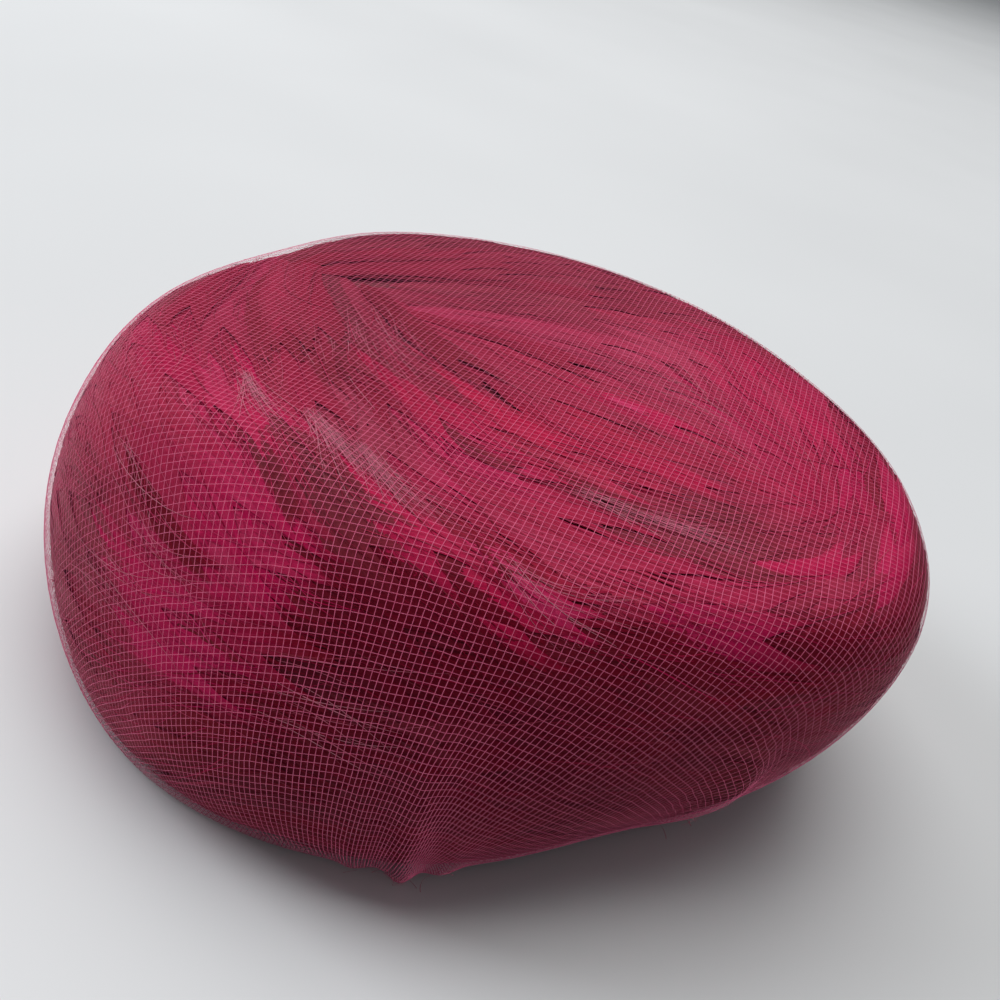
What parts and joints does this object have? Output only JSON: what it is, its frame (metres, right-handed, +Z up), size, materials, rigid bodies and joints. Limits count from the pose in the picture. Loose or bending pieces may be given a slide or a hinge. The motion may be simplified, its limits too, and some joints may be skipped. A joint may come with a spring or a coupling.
{
  "type": "feathered pillbox hat",
  "caption": "Pillbox hat with a soft flat crown, feathers swept over the crown and round the side, and a fine net stretched over all of it and turned under at the rim.",
  "frame": {"origin": "on the rim plane, under the middle of the hat's outline", "axes": "+Z up out of the crown, -Y towards the front of the hat, +X towards the wearer's left"},
  "size_m": [0.225, 0.2366, 0.0885],
  "materials": {
    "form": "matte felted cloth, dark wine",
    "crown_feathers": "satiny dyed feathers, crimson and magenta",
    "side_feathers": "satiny dyed feathers, dark wine",
    "net": "fine open net of light pink thread"
  },
  "bodies": {
    "root": {"crown_form": "form", "crown_feathers": "crown_feathers", "side_feathers": "side_feathers", "net_cover": "net"}
  },
  "joints": []
}
